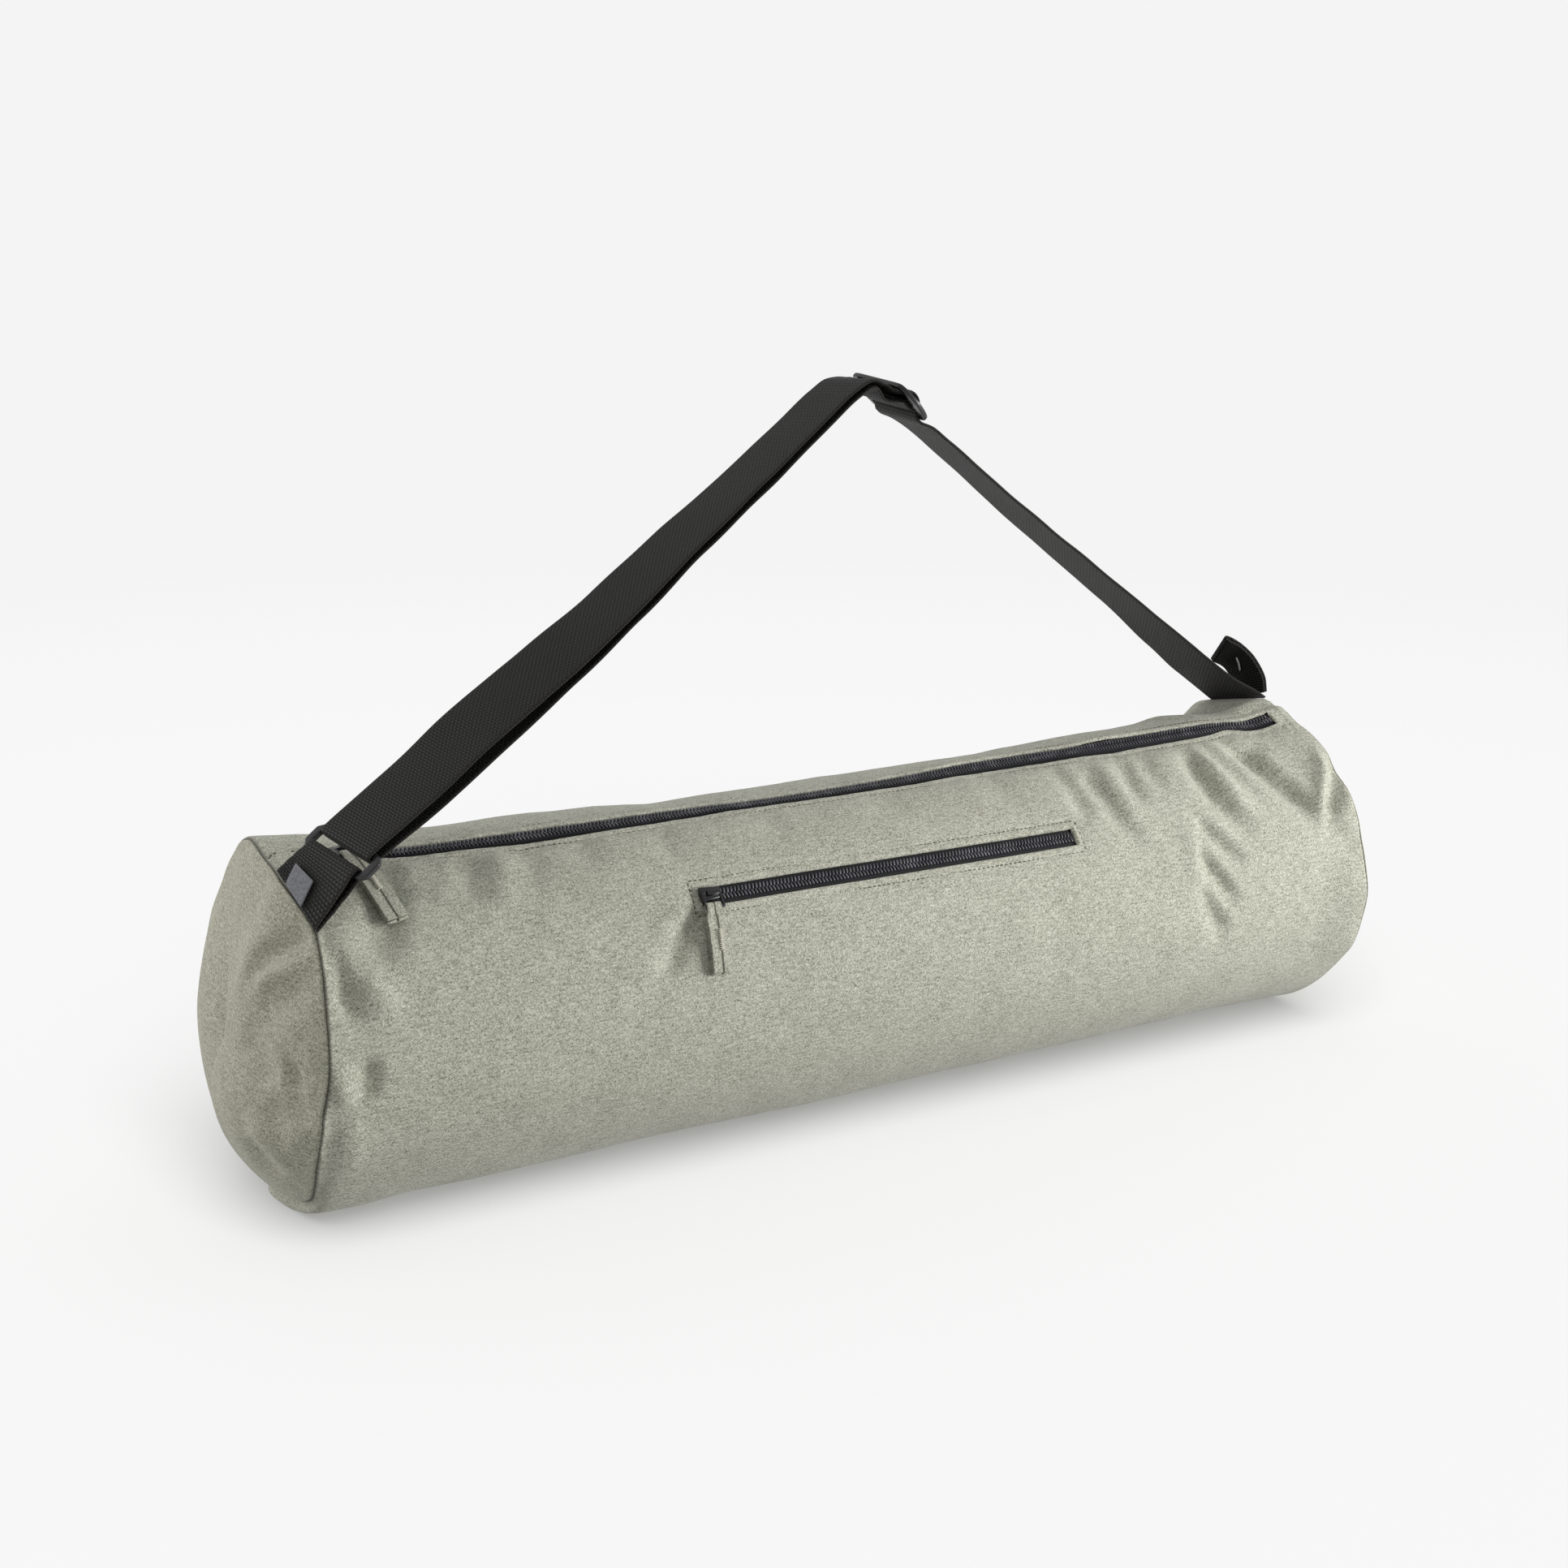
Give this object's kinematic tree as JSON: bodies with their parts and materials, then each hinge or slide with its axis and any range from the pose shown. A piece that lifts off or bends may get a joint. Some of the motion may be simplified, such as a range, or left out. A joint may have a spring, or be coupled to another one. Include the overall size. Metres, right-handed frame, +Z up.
{
  "type": "yoga mat bag",
  "caption": "Soft canvas tube bag for a rolled mat, with a long top zip, a front pocket zip and an adjustable webbing shoulder strap.",
  "frame": {"origin": "middle of the bag's overall box at floor height, under the tube as it lies on its side", "axes": "+X along the tube to the end where the strap is sewn straight on, -Y the front with the pocket, +Z up"},
  "size_m": [0.6594, 0.172, 0.3782],
  "materials": {
    "cloth": "woven heather canvas, matte",
    "webbing": "ribbed webbing, matte",
    "zip_tape": "woven tape, matte",
    "zip_coil": "satin",
    "zip_slider": "gloss",
    "hardware": "satin",
    "label": "woven, matte"
  },
  "bodies": {
    "root": {"body_panel": "cloth", "end_cap_left": "cloth", "end_cap_right": "cloth", "main_zip_tape": "zip_tape", "main_zip_coil": "zip_coil", "main_zip_slider": "zip_slider", "main_zip_pull": "cloth", "pocket_zip_tape": "zip_tape", "pocket_zip_coil": "zip_coil", "pocket_zip_slider": "zip_slider", "pocket_zip_pull": "cloth", "anchor_tab": "webbing", "strap_ring": "hardware", "side_label": "label", "shoulder_strap": "webbing", "strap_slider": "hardware", "end_loop": "webbing"}
  },
  "joints": []
}
